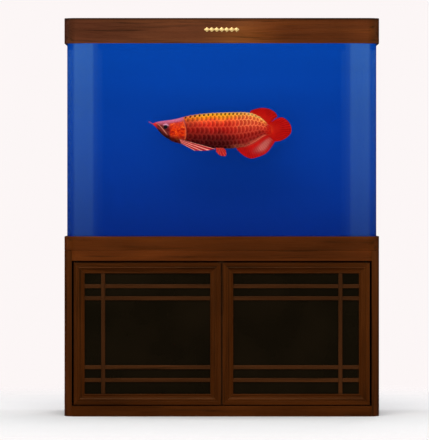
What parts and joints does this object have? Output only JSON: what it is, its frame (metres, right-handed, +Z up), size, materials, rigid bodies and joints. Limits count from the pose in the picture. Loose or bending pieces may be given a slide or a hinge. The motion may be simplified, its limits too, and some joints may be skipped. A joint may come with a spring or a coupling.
{
  "type": "aquarium on stand",
  "caption": "Bent-glass aquarium with a wooden lidded hood, standing on a cabinet with two lattice-front doors.",
  "frame": {"origin": "on the floor, at the middle of the footprint", "axes": "+Z up, +X to the right of someone facing the doors, -Y out of the front"},
  "size_m": [1.2, 0.5, 1.516],
  "materials": {
    "stand_wood": "satin lacquer on dark reddish-brown wood",
    "door_wood": "satin lacquer on dark reddish-brown wood",
    "hood_wood": "satin lacquer on brown wood",
    "bare_board": "dark matt board",
    "black_panel": "smoked, satin",
    "clear_glass": "clear, polished edges",
    "blue_film": "printed film, lighter at the top",
    "silicone": "smooth bead",
    "foam": "closed-cell foam",
    "steel": "plain steel",
    "aluminium": "anodised",
    "opal_plastic": "opal diffuser",
    "black_plastic": "fine grain",
    "grey_plastic": "smooth",
    "sponge": "open-cell sponge",
    "filter_wool": "felted wool",
    "gold": "polished",
    "fish_skin": "wet scales"
  },
  "bodies": {
    "stand_and_tank": {"stand_post_left": "stand_wood", "stand_post_right": "stand_wood", "stand_top_rail": "stand_wood", "stand_plinth": "stand_wood", "stand_cornice": "stand_wood", "stand_side_panel_left": "stand_wood", "stand_side_panel_right": "stand_wood", "stand_back_panel": "bare_board", "stand_floor_board": "bare_board", "stand_divider": "bare_board", "stand_top_board": "bare_board", "touch_latch_body_left": "grey_plastic", "touch_latch_body_right": "grey_plastic", "base_foam_mat": "foam", "glass_bent_front": "clear_glass", "glass_rear": "clear_glass", "glass_base": "clear_glass", "glass_brace_front": "clear_glass", "glass_brace_rear": "clear_glass", "silicone_bead": "silicone", "backdrop_film": "blue_film", "hood_fascia": "hood_wood", "hood_back_panel": "bare_board", "hood_rear_deck": "hood_wood", "hood_ornament": "gold", "lid_hinge_fixed_leaf": "steel", "lamp_carrier": "aluminium", "filter_trough": "black_plastic", "filter_sponge": "sponge", "filter_wool": "filter_wool", "pump_body": "black_plastic", "suction_pipe": "black_plastic", "spray_bar": "grey_plastic", "arowana": "fish_skin"},
    "door_left": {"door_left_hinge_stile": "door_wood", "door_left_meeting_stile": "door_wood", "door_left_top_rail": "door_wood", "door_left_bottom_rail": "door_wood", "door_left_lattice": "door_wood", "door_left_panel": "black_panel", "door_left_pin_top": "steel", "door_left_pin_bottom": "steel"},
    "door_right": {"door_right_hinge_stile": "door_wood", "door_right_meeting_stile": "door_wood", "door_right_top_rail": "door_wood", "door_right_bottom_rail": "door_wood", "door_right_lattice": "door_wood", "door_right_panel": "black_panel", "door_right_pin_top": "steel", "door_right_pin_bottom": "steel"},
    "latch_plunger_left": {"touch_latch_plunger_left": "steel"},
    "latch_plunger_right": {"touch_latch_plunger_right": "steel"},
    "lid_left": {"hood_lid_left": "hood_wood", "lid_hinge_leaf_left": "steel"},
    "lid_right": {"hood_lid_right": "hood_wood", "lid_hinge_leaf_right": "steel"},
    "lamp": {"lamp_housing": "aluminium", "lamp_diffuser": "opal_plastic"},
    "impeller": {"pump_impeller": "grey_plastic"}
  },
  "joints": [
    {"name": "door_left_hinge", "type": "hinge", "parent": "stand_and_tank", "child": "door_left", "pos_m": [-0.5495, -0.236, 0.315], "axis": [0, 0, -1], "range_deg": [0, 110]},
    {"name": "door_right_hinge", "type": "hinge", "parent": "stand_and_tank", "child": "door_right", "pos_m": [0.5495, -0.236, 0.315], "axis": [0, 0, 1], "range_deg": [0, 110]},
    {"name": "latch_left_slide", "type": "slide", "parent": "stand_and_tank", "child": "latch_plunger_left", "axis": [0, 1, 0], "range_m": [0, 0.0035], "stiffness_N_per_m": 300, "springref_m": -0.004},
    {"name": "latch_right_slide", "type": "slide", "parent": "stand_and_tank", "child": "latch_plunger_right", "axis": [0, 1, 0], "range_m": [0, 0.0035], "stiffness_N_per_m": 300, "springref_m": -0.004},
    {"name": "lid_left_hinge", "type": "hinge", "parent": "stand_and_tank", "child": "lid_left", "pos_m": [-0.295, 0.2, 1.512], "axis": [-1, 0, 0], "range_deg": [0, 95]},
    {"name": "lid_right_hinge", "type": "hinge", "parent": "stand_and_tank", "child": "lid_right", "pos_m": [0.295, 0.2, 1.512], "axis": [-1, 0, 0], "range_deg": [0, 95]},
    {"name": "lamp_tilt", "type": "hinge", "parent": "stand_and_tank", "child": "lamp", "pos_m": [0, -0.11, 1.473], "axis": [1, 0, 0], "range_deg": [-25, 25]},
    {"name": "impeller_spin", "type": "hinge", "parent": "stand_and_tank", "child": "impeller", "pos_m": [0.5, 0.134, 1.465], "axis": [0, 0, 1], "continuous": true}
  ]
}
